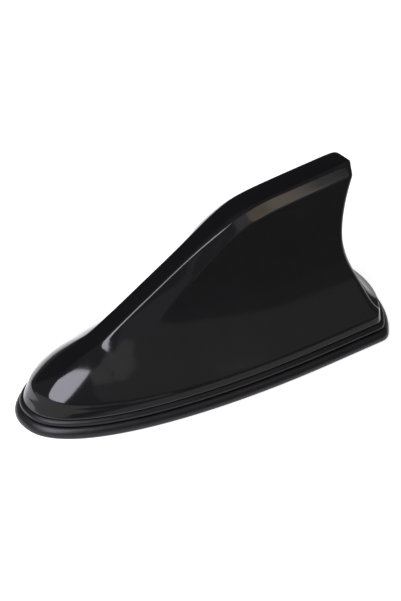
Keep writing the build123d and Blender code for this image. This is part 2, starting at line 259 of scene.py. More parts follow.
# Real blasted, sandy, foamed and drawn grains are finer than 0.2 mm. Here they are drawn 0.2 to 0.7 mm apart,
# so that they show. The ripple of the gloss, the threads of the cloth and the turns of wire have real sizes.

# Piano-black ABS from a polished mould: a gloss just short of a mirror, with a faint slow ripple in it.
GLOSS_ABS = Finish(
    "abs_gloss_moulded", "#0b0b0c", "#101011", (0.09, 0.12), patch_mm=14.0, grain_mm=3.0, relief_mm=0.0015
)
# EPDM rubber from a fine-blasted mould: a soft grey sheen with a fine grain.
MOULDED_RUBBER = Finish(
    "epdm_rubber_moulded",
    "#0d0d0e",
    "#121213",
    (0.34, 0.42),
    patch_mm=6.0,
    grain_mm=0.5,
    relief_mm=0.006,
    specular=0.3,
)
# ABS from a spark-eroded mould: even satin black with a sandy grain.
SATIN_ABS = Finish(
    "abs_spark_eroded_moulded", "#161617", "#1c1c1d", (0.5, 0.62), grain_mm=0.6, relief_mm=0.012
)
# Acrylic foam tape, die cut: open round cells in dark grey.
FOAM_TAPE = Finish(
    "acrylic_foam_die_cut",
    "#2b2b2d",
    "#363638",
    (0.8, 0.9),
    grain_mm=0.7,
    relief_mm=0.08,
    pattern=Pattern.CELLS,
)
# Nitrile rubber, press moulded: a slightly oily dark satin.
GROMMET_RUBBER = Finish(
    "nitrile_rubber_pressed", "#131314", "#1a1a1b", (0.36, 0.46), grain_mm=0.45, relief_mm=0.005
)
# Zinc-plated steel, cold headed: pale blue-grey metal with drawing lines.
ZINC_STEEL = Finish(
    "steel_zinc_plated",
    "#b9bec4",
    "#a3a9b0",
    (0.24, 0.36),
    patch_mm=3.0,
    grain_mm=0.3,
    pattern=Pattern.SCRATCH,
    metallic=1.0,
)
# Glass fibre board under green solder mask: a lacquer gloss over the print of the cloth.
MASKED_BOARD = Finish(
    "glass_fibre_solder_masked",
    "#14502f",
    "#195c38",
    (0.26, 0.36),
    grain_mm=0.7,
    relief_mm=0.012,
    pattern=Pattern.WEAVE,
)
# Bare glass fibre laminate, sawn: straw yellow with the cloth showing.
BARE_BOARD = Finish(
    "glass_fibre_laminated",
    "#a9a063",
    "#b8af75",
    (0.4, 0.5),
    grain_mm=0.7,
    relief_mm=0.02,
    pattern=Pattern.WEAVE,
)
# Etched copper foil: warm metal with rolling lines and a little tarnish.
ETCHED_COPPER = Finish(
    "copper_etched", "#d08c63", "#a8653f", (0.26, 0.4), grain_mm=0.3, pattern=Pattern.SCRATCH, metallic=1.0
)
# Tinplate, pressed: bright grey sheet with rolling lines.
PRESSED_TIN = Finish(
    "tinplate_pressed", "#c6c6c2", "#b2b2ae", (0.2, 0.3), grain_mm=0.4, pattern=Pattern.SCRATCH, metallic=1.0
)
# Epoxy, transfer moulded: dull charcoal with a fine sand.
MOULDED_EPOXY = Finish(
    "epoxy_transfer_moulded", "#1d1d1f", "#26262a", (0.6, 0.7), grain_mm=0.25, relief_mm=0.006
)
# Brass, turned and gold plated: yellow metal with turning lines.
GOLD_BRASS = Finish(
    "brass_gold_plated",
    "#e2be6a",
    "#d3a84f",
    (0.18, 0.28),
    grain_mm=0.3,
    pattern=Pattern.SCRATCH,
    metallic=1.0,
)
# Enamelled copper wire, wound: red-brown turns side by side.
WOUND_WIRE = Finish(
    "copper_enamelled_wound",
    "#7a3418",
    "#94451f",
    (0.22, 0.34),
    grain_mm=0.35,
    relief_mm=0.09,
    pattern=Pattern.TURNS,
)
# Barium titanate ceramic, fired: matt tan with pale specks.
FIRED_CERAMIC = Finish("ceramic_fired", "#a98a61", "#bb9e78", (0.5, 0.62), patch_mm=0.5, grain_mm=0.2)
# Alumina chip, glazed: a dark glassy film.
GLAZED_ALUMINA = Finish("alumina_glazed", "#20242b", "#2a2f38", (0.2, 0.32), patch_mm=0.8, grain_mm=0.3)


def soft_max(first: Array, second: Array, softness: Array | float) -> Array:
    """The larger of two values, with the corner between them rounded."""
    return (first + second + np.sqrt((first - second) ** 2 + np.square(softness))) / 2


def soft_min(first: Array, second: Array | float, softness: float) -> Array:
    """The smaller of two values, with the corner between them rounded."""
    return (first + second - np.sqrt((first - second) ** 2 + softness**2)) / 2


def smooth_share(value: Array, start: float, end: float) -> Array:
    """A share that runs smoothly from 0 at start to 1 at end."""
    share = np.clip((value - start) / (end - start), 0, 1)
    return share * share * (3 - 2 * share)


def running_length(*coordinates: Array) -> Array:
    """Length along each row of points, from 0 at its first point."""
    steps = np.sqrt(sum(np.diff(axis, axis=-1) ** 2 for axis in coordinates))
    return np.concatenate([np.zeros_like(steps[..., :1]), np.cumsum(steps, axis=-1)], axis=-1)


def read_rows(length: Array, value: Array, at: Array) -> Array:
    """Reads each row of values at new lengths along that row.

    Every row is shifted to follow the row before it, so that one interpolation serves the whole grid.

    Args:
        length: Rising lengths, one row for each line of points.
        value: Values at those lengths.
        at: Lengths to read at, row by row.

    Returns:
        The values there, in the form of at.
    """
    shift = (length[:, -1].max() + 1) * np.arange(len(length))[:, None]
    inside = np.clip(at, 0, length[:, -1:])
    return np.interp((inside + shift).ravel(), (length + shift).ravel(), value.ravel()).reshape(at.shape)


def halve(gap: Callable[[Array], Array], low: Array, high: Array, steps: int = 44) -> Array:
    """Finds where a falling function crosses zero, for a whole array at once, by halving.

    Args:
        gap: Function that is above zero at low and below zero at high.
        low: Lower ends of the search.
        high: Upper ends of the search.
        steps: Number of halvings.

    Returns:
        The crossings.
    """
    for _ in range(steps):
        middle = (low + high) / 2
        above = gap(middle) > 0
        low = np.where(above, middle, low)
        high = np.where(above, high, middle)
    return (low + high) / 2


def bell(taps: int = 17) -> tuple[Array, Array]:
    """Places from -1 to 1 and their weights in a raised cosine, which sum to 1.

    Args:
        taps: Number of places.

    Returns:
        The places and their weights.
    """
    place = np.linspace(-1, 1, taps + 2)[1:-1]
    weight = 1 + np.cos(np.pi * place)
    return place, weight / weight.sum()


def flowing(points: tuple[Pair, ...], steps: int = 7) -> Array:
    """A smooth line: cubic spans whose slope at each point is half the step between its neighbours.

    Args:
        points: Pairs of numbers.
        steps: New points in each span.

    Returns:
        Points along the line, both ends included.
    """
    given = np.array(points)
    padded = np.concatenate([[2 * given[0] - given[1]], given, [2 * given[-1] - given[-2]]])
    before, start, end, after = (padded[at : len(given) - 1 + at][:, None] for at in range(4))
    t = (np.arange(steps) / steps)[None, :, None]
    cubic = 3 * (start - end) + after - before
    square = 2 * before - 5 * start + 4 * end - after
    line = start + t / 2 * (end - before + t * (square + t * cubic))
    return np.concatenate([line.reshape(-1, 2), given[-1:]])


def mirrored(x: Array, y: Array) -> tuple[Array, Array]:
    """Rings from half rings that run from the nose to the stern on the left side."""
    return np.concatenate([x, x[:, -2:0:-1]], axis=1), np.concatenate([y, -y[:, -2:0:-1]], axis=1)


def ring_faces(rows: int, columns: int, closed: bool) -> Array:
    """Quads of a stack of rings.

    Args:
        rows: Number of rings.
        columns: Points in each ring.
        closed: Whether the last ring joins the first.

    Returns:
        Four corner numbers for each face.
    """
    row = np.arange(rows if closed else rows - 1)[:, None]
    column = np.arange(columns)[None, :]
    here, after = row * columns, (row + 1) % rows * columns
    beside = (column + 1) % columns
    return np.stack([here + column, here + beside, after + beside, after + column], axis=-1).reshape(-1, 4)


def cap_faces(start: int, columns: int) -> list[list[int]]:
    """Faces across a ring that is the same on both sides: strips from each left point to its right twin.

    Args:
        start: Number of the ring's first point.
        columns: Points in the ring.

    Returns:
        Corner numbers of the faces.
    """
    half = columns // 2
    left = start + np.arange(1, half - 1)
    right = start + columns - np.arange(1, half - 1)
    strips = np.stack([left, left + 1, right - 1, right], axis=1).tolist()
    ends = [[start, start + 1, start + columns - 1], [start + half - 1, start + half, start + half + 1]]
    return strips + ends


@dataclass
class Shell:
    """Points and faces of a closed surface that is still being put together."""

    points: list[Array] = field(default_factory=list)
    faces: list[list[int]] = field(default_factory=list)
    count: int = 0

    def add_rings(self, rings: Array, closed: bool) -> None:
        """Adds a stack of rings, joined end to end or capped at both ends.

        Args:
            rings: Points as rows, columns and x, y, z.
            closed: Whether the last ring joins the first; otherwise the two end rings are capped.
        """
        rows, columns, _ = rings.shape
        self.faces += (ring_faces(rows, columns, closed) + self.count).tolist()
        if not closed:
            self.faces += cap_faces(self.count, columns)
            self.faces += cap_faces(self.count + (rows - 1) * columns, columns)
        self.points.append(rings.reshape(-1, 3))
        self.count += rows * columns

    def piece(self, name: str, slot: Slot, finish: Finish, sharp: float) -> bpy.types.Object:
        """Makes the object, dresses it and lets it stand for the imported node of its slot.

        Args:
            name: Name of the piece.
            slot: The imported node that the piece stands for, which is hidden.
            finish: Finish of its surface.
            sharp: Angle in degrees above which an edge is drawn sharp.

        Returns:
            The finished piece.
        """
        mesh = bpy.data.meshes.new(name)
        mesh.from_pydata(np.concatenate(self.points) * MM, [], self.faces)
        work = bmesh.new()
        work.from_mesh(mesh)
        bmesh.ops.recalc_face_normals(work, faces=work.faces)
        work.to_mesh(mesh)
        work.free()
        mesh.polygons.foreach_set("use_smooth", np.ones(len(mesh.polygons), dtype=bool))
        mesh.set_sharp_from_angle(angle=math.radians(sharp))
        mesh.materials.append(finish.build())
        piece = bpy.data.objects.new(name, mesh)
        bpy.context.scene.collection.objects.link(piece)
        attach(piece, "root")
        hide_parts(slot.value)
        LOG.info("%s: %d faces", name, len(mesh.polygons))
        return piece


@dataclass(frozen=True)
class PlanOutline:
    """Bullet-shaped outline of the foot, seen from above."""

    nose_x: float = 80.0
    half_width: float = 36.0
    widest_x: float = -37.0
    nose_power: float = 2.12
    side_power: float = 2.3
    stern_x: float = -30.0
    stern_radius: float = 50.0
    corner_radius: float = 6.0
    # A distance beyond the whole outline, where a search ends
    beyond: float = 400.0
    # Samples of the nose, the rear corner and the stern
    nose_samples: int = 1200
    corner_samples: int = 80
    stern_samples: int = 300

    def rear_sizes(self, inset: Array) -> tuple[Array, Array, Array, Array, Array]:
        """Sizes of the outline's side, rear corner and stern.

        The corner's circle touches the side and the stern's arc from inside. With half width w, stern
        radius R and corner radius r, its centre lies sqrt((R - r) ** 2 - (w - r) ** 2) behind the middle of
        the arc.

        Args:
            inset: Distances from the outer edge.

        Returns:
            Half width, stern radius, corner radius, x of the corner's centre, and the angle about the
            middle of the stern's arc at which the corner ends.
        """
        width = self.half_width - inset
        radius = self.stern_radius - inset
        corner = self.corner_radius - inset / 2
        corner_x = self.stern_x - np.sqrt((radius - corner) ** 2 - (width - corner) ** 2)
        return width, radius, corner, corner_x, np.arctan2(width - corner, corner_x - self.stern_x)

    def half_rings(self, inset: Array, nose_inset: Array, share: Array) -> tuple[Array, Array]:
        """Left halves of the outline, drawn in from the edge.

        The nose is a superellipse, (x / a) ** p + (y / b) ** q = 1, from the widest place forward. Behind
        it come a straight side, a rounded corner and the stern, an arc about a point on the centre line.

        Args:
            inset: Distance from the outer edge at the sides and stern, one for each row.
            nose_inset: Distance from the outer edge at the nose, one for each row.
            share: Shares of the way from the nose to the stern.

        Returns:
            The x and y of the points, row by row.
        """
        width, radius, corner, corner_x, end = self.rear_sizes(inset[:, None])
        reach = (self.nose_x - nose_inset)[:, None] - self.widest_x
        turn = np.linspace(0, np.pi / 2, self.nose_samples)
        nose_x = self.widest_x + reach * np.cos(turn).clip(0) ** (2 / self.nose_power)
        nose_y = width * np.sin(turn) ** (2 / self.side_power)
        bend = np.pi / 2 + (end - np.pi / 2) * np.linspace(0, 1, self.corner_samples)
        arc = end + (np.pi - end) * np.linspace(0, 1, self.stern_samples)[1:]
        bend_x, bend_y = corner_x + corner * np.cos(bend), width - corner + corner * np.sin(bend)
        x = np.concatenate([nose_x, bend_x, self.stern_x + radius * np.cos(arc)], axis=1)
        y = np.concatenate([nose_y, bend_y, radius * np.sin(arc)], axis=1)
        length = running_length(x, y)
        at = length[:, -1:] * share
        return read_rows(length, x, at), read_rows(length, y, at)

    def draw_in(
        self, x: Array, y: Array, inset: Array, nose_inset: Array, softness: float
    ) -> tuple[Array, Array]:
        """Draws points of the left half that stand outside the outline back onto it, with a rounded crease.

        Ahead of the widest place a point moves towards the middle of that place, to the superellipse.
        Behind it, d is how far the point stands outside the side, the rear corner or the stern, and the
        point moves back along its normal by (d + sqrt(d ** 2 + softness ** 2)) / 2.

        Args:
            x: Places along the object.
            y: Places across it, not below 0.
            inset: Distance of the outline from the outer edge at the sides and stern, for each point.
            nose_inset: The same at the nose.
            softness: Width of the rounded crease.

        Returns:
            The x and y of the points after the move.
        """
        width, radius, corner, corner_x, end = self.rear_sizes(inset)
        reach = self.nose_x - nose_inset - self.widest_x
        ahead = np.maximum(x - self.widest_x, 0)
        far = np.maximum(np.hypot(ahead, y), TINY)

        def inside(share: Array) -> Array:
            """How far a share of the way to each point lies inside the superellipse."""
            return 1 - (share * ahead / reach) ** self.nose_power - (share * y / width) ** self.side_power

        edge = far * halve(inside, 0 * far, self.beyond / far)
        pull = soft_min(far, edge, softness) / far
        at_stern = np.arctan2(y, x - self.stern_x) > end
        at_side = ~at_stern & (x >= corner_x)
        from_x = np.where(at_side, 0, x - np.where(at_stern, self.stern_x, corner_x))
        from_y = np.where(at_side | at_stern, y, y - (width - corner))
        away = np.maximum(np.hypot(from_x, from_y), TINY)
        outside = away - np.where(at_stern, radius, np.where(at_side, width, corner))
        back = (outside + np.sqrt(outside**2 + softness**2)) / 2 / away
        is_ahead = x > self.widest_x
        drawn_x = np.where(is_ahead, self.widest_x + pull * ahead, x - back * from_x)
        drawn_y = np.where(is_ahead, pull * y, y - back * from_y)
        return drawn_x, drawn_y


@dataclass(frozen=True)
class Skirt:
    """Sloping skirt of the cover, whose face leans back more at the nose than at the sides."""

    plan: PlanOutline
    seat_z: float = 7.0
    crease_z: float = CREASE_Z
    foot_inset: float = 3.4
    side_draft: float = 0.2
    nose_draft: float = 0.45
    # How far above the crease its slope still trims the fin, and how soft the crease is
    trim_height: float = 9.0
    softness: float = 0.35

    def insets(self, z: Array, wall: float) -> tuple[Array, Array]:
        """Insets of its outline, which grow in step with the height.

        Args:
            z: Heights.
            wall: How much further in the outline lies.

        Returns:
            Insets at the sides and stern, and at the nose.
        """
        rise = np.minimum(z, self.crease_z + self.trim_height) - self.seat_z
        foot = self.foot_inset + wall
        return foot + self.side_draft * rise, foot + self.nose_draft * rise

    def trim(self, x: Array, y: Array, z: Array, wall: float) -> tuple[Array, Array]:
        """Draws points of the fin outside the skirt's slope back onto it, which makes the crease."""
        return self.plan.draw_in(x, y, *self.insets(z, wall), self.softness)


@dataclass(frozen=True)
class FinGrid:
    """How closely the lines of the fin are worked out, and where the points of its mesh stand."""

    # Samples of the crest, which crowd at the nose, and of the rear edge
    crest_samples: int = 1600
    crest_crowding: float = 2.2
    rear_samples: int = 900
    curve_samples: int = 1500
    # Samples of the whole side view, close together over its first stretch
    close_length: float = 12.0
    close_samples: int = 500
    far_samples: int = 4000
    # Samples of a half section on the crest strip, the flank and the rear face
    strip_samples: int = 24
    flank_samples: int = 420
    stern_samples: int = 60
    # Rows of the mesh over the foot of the dome, and those beyond, which crowd at the tip
    foot_length: float = 9.0
    foot_rows: int = 52
    row_count: int = 230
    row_crowding: float = 1.7
    # Columns of the mesh in each stretch of a half section: strip, crest edge, band, lower crease of the
    # band, flank, rear corner and rear face
    column_counts: tuple[int, ...] = (5, 16, 6, 8, 46, 16, 9)
    # Close stretches at those turns: a margin past the rounded crest edge, a half length at the crease of
    # the band, a multiple of the rear corner's rounding and a length after it, with the largest shares of
    # the line that they take and the least share between them
    edge_margin: float = 0.2
    edge_share: float = 0.25
    band_length: float = 1.6
    band_share: float = 0.1
    corner_spread: float = 1.8
    corner_share: float = 0.3
    after_length: float = 0.6
    least_gap: float = 0.05

    @property
    def flank(self) -> slice:
        """The samples of a half section from the crest edge to the rear corner, both included."""
        return slice(self.strip_samples - 1, self.strip_samples + self.flank_samples - 1)


@dataclass(frozen=True)
class FinForm:
    """Form of the fin above the crease of the skirt, outside or drawn in by an inset.

    Section planes fan out from a level axis behind the stern. On each plane the outline runs from the
    crest strip over its rounded edge, down the swept band and the flank, and round the rear corner to the
    hollow rear face.
    """

    plan: PlanOutline
    inset: float = 0.0
    grid: FinGrid = FinGrid()
    # Outline on the crease plane
    crease_z: float = CREASE_Z
    nose_x: float = 75.6
    half_width: float = 32.1
    # Crest strip: half width on the ramp, gain on the level top, where that comes, crown and its fading
    crest_half: float = 4.2
    strip_gain: float = 1.0
    strip_span: Pair = (-25.0, 10.0)
    crest_crown: float = 0.35
    crown_fade: float = 4.0
    # Band: width and depth on the ramp and on the level top, where they change, and its fading at the nose
    ramp_band: Pair = (3.2, 7.0)
    level_band: Pair = (4.2, 3.6)
    band_span: Pair = (-8.0, 18.0)
    band_softness: float = 0.1
    band_fade: Pair = (18.0, 45.0)
    # Crest line seen from the side: ramp, level top and dome
    ramp_x: float = 41.0
    ramp_z: float = 30.0
    ramp_slope: float = 0.557
    tip_x: float = -69.8
    tip_z: float = 64.7
    level_slope: float = 0.05
    bend_softness: float = 4.0
    dome_x: float = 10.0
    dome_height: float = 20.9
    dome_power: float = 1.6
    dome_softness: float = 0.15
    # Flank: how hollow it is at the tail and at the nose, how round its foot is there, and where that comes
    tail_hollow: float = 2.4
    nose_hollow: float = 0.7
    foot_round: float = 0.35
    hollow_span: Pair = (-10.0, 66.0)
    # Rear edge seen from the side, and the rear face, which is flattest about one height and stays this
    # far behind the post that it turns about
    rear_points: tuple[Pair, ...] = ((-76.1, 10.0), (-63.4, 25.0), (-62.6, 37.0), (-69.8, 65.05))
    rear_flat: float = 0.65
    rear_flat_z: float = 21.0
    rear_flat_reach: float = 12.0
    least_depth: float = 1.0
    # Axis of the section planes, and a distance along them that is ahead of the rear face
    fan_x: float = -100.0
    fan_reach: float = 120.0
    # Rounding of the crest edge, which is softer at the tail, of the rear corners and of the tip, and the
    # length of the last section there
    crest_round: float = 1.4
    tail_softening: float = 1.4
    tail_length: float = 9.0
    stern_round: float = 3.4
    tip_round: float = 4.2
    tip_length: float = 0.4
    # How far a rounding fades out, in its own lengths, and its largest shares of the strip and of the flank
    edge_spread: float = 1.5
    tip_spread: float = 2.0
    strip_share: float = 0.8
    flank_share: float = 0.45

    @property
    def front_x(self) -> float:
        """The place on the crease plane where the crest strip's edges meet the outline.

        Returns:
            The x of that place.
        """
        share = (self.crest_half - self.inset) / (self.half_width - self.inset)
        reach = self.nose_x - self.inset - self.plan.widest_x
        return self.plan.widest_x + reach * (1 - share**self.plan.side_power) ** (1 / self.plan.nose_power)

    def on_plane(self, angle: Array, reach: Array) -> tuple[Array, Array]:
        """The x and z of places at a distance from the fan's axis on section planes."""
        return self.fan_x + reach * np.cos(angle), self.crease_z + reach * np.sin(angle)

    def strip_half(self, x: Array) -> Array:
        """Half width of the crest strip, which grows from the ramp to the level top."""
        return self.crest_half - self.inset + self.strip_gain * (1 - smooth_share(x, *self.strip_span))

    def band(self, x: Array) -> tuple[Array, Array]:
        """Width and depth of the band below the crest edge: steep on the ramp, shallow on the level top.

        Args:
            x: Places along the object.

        Returns:
            Widths and depths there.
        """
        on_ramp = smooth_share(x, *self.band_span)
        sizes = zip(self.level_band, self.ramp_band)
        width, depth = (level + (ramp - level) * on_ramp for level, ramp in sizes)
        return width * (1 - smooth_share(x, *self.band_fade)), depth

    def crest(self, x: Array) -> Array:
        """Height of the crest edge: a superelliptic dome, a straight ramp, a bend and a nearly level top.

        Args:
            x: Places along the object.

        Returns:
            Heights there.
        """
        drop = self.inset * math.hypot(1, self.ramp_slope)
        share = np.clip(x - self.dome_x, 0, None) / (self.front_x - self.dome_x)
        bulge = np.clip(1 - share**2, 0, None) ** (1 / self.dome_power)
        dome = self.crease_z + (self.dome_height - drop) * bulge
        ramp = self.ramp_z - drop + self.ramp_slope * (self.ramp_x - x)
        level = self.tip_z - drop + self.level_slope * (self.tip_x - x)
        top = soft_min(ramp, level, self.bend_softness)
        blend = self.dome_softness * (1 - smooth_share(x, self.ramp_x, self.front_x))
        return np.minimum(soft_max(dome, top, blend), level)

    def half_at(self, x: Array, z: Array) -> Array:
        """Half width of the fin: crest strip, plus the band's share, plus a flank that flares out.

        The flank's share is (1 - s ** p) ** h, where s runs from 0 at the crease to 1 at the crest, h says
        how hollow the flank is, and p how round its foot. At 1 it reaches the outline of the crease plane.

        Args:
            x: Places along the object.
            z: Heights.

        Returns:
            Half widths there.
        """
        crest = self.crest(x)
        share = np.clip((z - self.crease_z) / np.maximum(crest - self.crease_z, TINY), 0, 1)
        domed = smooth_share(x, *self.hollow_span)
        hollow = self.tail_hollow + (self.nose_hollow - self.tail_hollow) * domed
        flare = np.clip(1 - share ** (1 + self.foot_round * domed), 0, None) ** hollow
        ahead = np.clip(x - self.plan.widest_x, 0, None) / (self.nose_x - self.inset - self.plan.widest_x)
        bullet = np.clip(1 - ahead**self.plan.nose_power, 0, None) ** (1 / self.plan.side_power)
        outline = (self.half_width - self.inset) * bullet
        band, depth = self.band(x)
        edge = self.strip_half(x)
        reach = soft_min(np.clip(crest - z, 0, None) / depth, 1.0, self.band_softness)
        return edge + band * reach + (outline - edge - band) * flare

    def rear_x(self, z: Array) -> Array:
        """The rear edge seen from the side: a cubic through four points, paced by the chords between them.

        Args:
            z: Heights.

        Returns:
            The x of the edge there.
        """
        points = np.array(self.rear_points)
        pace = running_length(*points.T)
        fine = np.linspace(0, pace[-1], self.grid.curve_samples)
        x, height = (np.polyval(np.polyfit(pace, axis, 3), fine) for axis in points.T)
        return np.interp(z, height, x) + self.inset

    def side_view(self) -> tuple[Array, Array]:
        """Outline of the fin seen from the side, from the nose over the crest and down the rear edge.

        The corner at the tip is rounded by averaging the line over a short stretch either side of each point.

        Returns:
            The x and z of the points.
        """
        grid = self.grid
        tip_x = self.tip_x + self.inset
        along = np.linspace(0, 1, grid.crest_samples) ** grid.crest_crowding
        crest_x = self.front_x + (tip_x - self.front_x) * along
        rear_z = np.linspace(self.crest(np.array(tip_x)), self.crease_z, grid.rear_samples)[1:]
        x = np.concatenate([crest_x, self.rear_x(rear_z)])
        z = np.concatenate([self.crest(crest_x), rear_z])
        length = running_length(x, z)
        tip = length[grid.crest_samples - 1]
        close = np.linspace(0, grid.close_length, grid.close_samples)[:-1]
        fine = np.concatenate([close, np.linspace(grid.close_length, length[-1], grid.far_samples)])
        near = np.clip(1 - ((fine - tip) / (self.tip_spread * self.tip_round)) ** 2, 0, 1)
        place, weight = bell()
        window = fine[:, None] + (self.tip_round * near)[:, None] * place
        return np.interp(window, length, x) @ weight, np.interp(window, length, z) @ weight

    def rows(self) -> tuple[Array, Array, Array]:
        """The section planes and the ends of the fin on them.

        Each plane goes through one point of the crest line. Those points stand closer over the foot of the
        dome and towards the tip.

        Returns:
            Angles of the planes, and distances from the fan's axis to the crest edge and to the rear edge.
        """
        grid = self.grid
        x, z = self.side_view()
        angle = np.arctan2(z - self.crease_z, x - self.fan_x)
        reach = np.hypot(x - self.fan_x, z - self.crease_z)
        top = int(np.argmax(angle))
        rear = np.interp(angle[:top], angle[: top - 1 : -1], reach[: top - 1 : -1])
        run = running_length(x[:top], z[:top])
        last = run[np.flatnonzero(reach[:top] - rear > self.tip_length)[-1]]
        foot = np.linspace(0, grid.foot_length, grid.foot_rows, endpoint=False)
        rest = 1 - (1 - np.linspace(0, 1, grid.row_count)) ** grid.row_crowding
        at = np.concatenate([foot, grid.foot_length + (last - grid.foot_length) * rest])
        angles, crests, rears = (np.interp(at, run, values) for values in (angle[:top], reach[:top], rear))
        angles[0] = 0.0
        return angles, crests, rears

    def rear_reach(self, angle: Array, y: Array) -> Array:
        """Distance along a section plane to the rear face.

        The face is the rear edge turned about an upright post, and flatter from side to side a little above
        the skirt, by a bell curve of the height.

        Args:
            angle: Angles of the planes.
            y: Places across the object.

        Returns:
            Distances from the fan's axis.
        """

        def ahead(reach: Array) -> Array:
            """How far the rear face stands ahead of places on the planes.

            Args:
                reach: Distances of the places from the fan's axis.

            Returns:
                Distances along the object.
            """
            x, height = self.on_plane(angle, reach)
            edge = self.rear_x(height)
            radius = self.plan.stern_x - edge
            curve = 1 - self.rear_flat * np.exp(-(((height - self.rear_flat_z) / self.rear_flat_reach) ** 2))
            depth = np.sqrt(np.maximum(radius**2 - y**2, self.least_depth**2))
            return edge + curve * (radius - depth) - x

        start = np.zeros(np.broadcast_shapes(angle.shape, y.shape))
        return halve(ahead, start, start + self.fan_reach)

    def sections(self, angle: Array, crest: Array, rear: Array) -> tuple[Array, Array, Array]:
        """Left half sections whose crest edge is still sharp.

        Each runs across the crest strip, which is crowned as 1 - (y / edge) ** 2, down the flank to the rear
        corner, which is rounded as a quarter circle, and in along the rear face.

        Args:
            angle: Angles of the section planes.
            crest: Distances from the fan's axis to the crest edge.
            rear: Distances from the fan's axis to the rear edge.

        Returns:
            Distances from the fan's axis and places across the object, one row for each section, and the
            distances to the rear corner.
        """
        grid = self.grid
        offset = rear - self.rear_reach(angle, np.zeros_like(angle))

        def width(reach: Array) -> Array:
            """Half width at a distance along each section plane."""
            return self.half_at(*self.on_plane(angle, reach))

        def strip_at(reach: Array) -> Array:
            """Half width of the crest strip at a distance along each section plane."""
            return self.strip_half(self.on_plane(angle, reach)[0])

        furthest = np.minimum(crest, (self.plan.stern_x - self.fan_x) / np.cos(angle))
        corner = halve(lambda reach: self.rear_reach(angle, width(reach)) + offset - reach, rear, furthest)
        bend = np.minimum(self.stern_round, self.strip_share * strip_at(corner))

        def rounded(reach: Array, half: Array) -> Array:
            """Half width once the rear corner is rounded to the radius of the bend."""
            short = np.clip(bend - (reach - corner), 0, bend)
            return half - bend + np.sqrt(bend**2 - short**2)

        edge = rounded(crest, strip_at(crest))
        strip_y = edge * np.linspace(0, 1, grid.strip_samples)
        crown = self.crest_crown * np.clip((crest - rear) / self.crown_fade, 0, 1)
        strip = crest + crown * (1 - (strip_y / edge) ** 2)
        down = (1 - np.cos(np.linspace(0, np.pi, grid.flank_samples)))[1:] / 2
        flank = crest - (crest - corner) * down
        stern_y = rounded(corner, width(corner)) * np.linspace(1, 0, grid.stern_samples)[1:]
        stern = self.rear_reach(angle, stern_y) + offset
        y = np.concatenate([strip_y, rounded(flank, width(flank)), stern_y], axis=1)
        return np.concatenate([strip, flank, stern], axis=1), y, corner

    def half_rings(self) -> tuple[Array, Array, Array]:
        """Left halves of the fin's sections, from the crease plane to the tip.

        The crest edge is rounded by averaging each section over a short stretch either side of a point there,
        which past the centre line runs back on the other side.

        Returns:
            The x, y and z of the points, one row for each section.
        """
        angle, crest, rear = (values[:, None] for values in self.rows())
        reach, y, corner = self.sections(angle, crest, rear)
        length = running_length(reach, y)
        flank_reach, flank_length = reach[:, self.grid.flank], length[:, self.grid.flank]
        first, second, end = flank_length[:, :1], flank_length[:, -1:], length[:, -1:]

        def depth_left(back: Array) -> Array:
            """How much of the band's depth is left at a distance behind the crest edge."""
            x, z = self.on_plane(angle, crest - back)
            return self.band(x)[1] - (self.crest(x) - z)

        back = halve(depth_left, 0 * crest, crest - corner)
        at = self.columns(first, read_rows(flank_reach[:, :1] - flank_reach, flank_length, back), second, end)
        crest_x, _ = self.on_plane(angle, crest)
        at_tail = 1 - smooth_share(crest_x, self.tip_x, self.tip_x + self.tail_length)
        stretch = self.crest_round * (1 + self.tail_softening * at_tail)
        near = np.clip(1 - ((at - first) / (self.edge_spread * stretch)) ** 2, 0, 1)
        room = np.minimum(self.flank_share * (second - first), self.strip_share * first)
        soft = np.minimum(stretch, room) * near
        round_reach, round_y = np.zeros_like(at), np.zeros_like(at)
        for step, share in zip(*bell()):
            spot = at + soft * step
            side = np.where((spot < 0) | (spot > end), -1, 1)
            spot = end - np.abs(end - np.abs(spot))
            round_reach += share * read_rows(length, reach, spot)
            round_y += share * side * read_rows(length, y, spot)
        round_y[:, 0] = round_y[:, -1] = 0
        x, z = self.on_plane(angle, round_reach)
        return x, round_y, z

    def columns(self, first: Array, band: Array, second: Array, end: Array) -> Array:
        """Lengths along the half sections at which their points stand, closest where the line turns.

        Args:
            first: Length to the crest edge.
            band: Length to the lower crease of the band.
            second: Length to the rear corner.
            end: Whole length, to the centre of the rear face.

        Returns:
            The lengths, row by row.
        """
        grid = self.grid
        flank = second - first
        gap = grid.least_gap * flank
        room = np.minimum(grid.edge_share * flank, self.strip_share * first)
        near = np.minimum(self.edge_spread * self.crest_round + grid.edge_margin, room)
        soft = np.minimum(grid.band_length, grid.band_share * flank)
        rear = np.minimum(grid.corner_spread * self.stern_round, grid.corner_share * flank)
        after = np.minimum(grid.after_length, grid.corner_share * (end - second))
        band = np.clip(band, first + near + soft + gap, second - rear - soft - gap)
        edge_stops = (0 * first, first - near, first + near)
        stops = (*edge_stops, band - soft, band + soft, second - rear, second + after, end)
        parts = [
            low + (high - low) * np.linspace(0, 1, count + 1)[:-1]
            for low, high, count in zip(stops, stops[1:], grid.column_counts)
        ]
        return np.concatenate([*parts, end], axis=1)


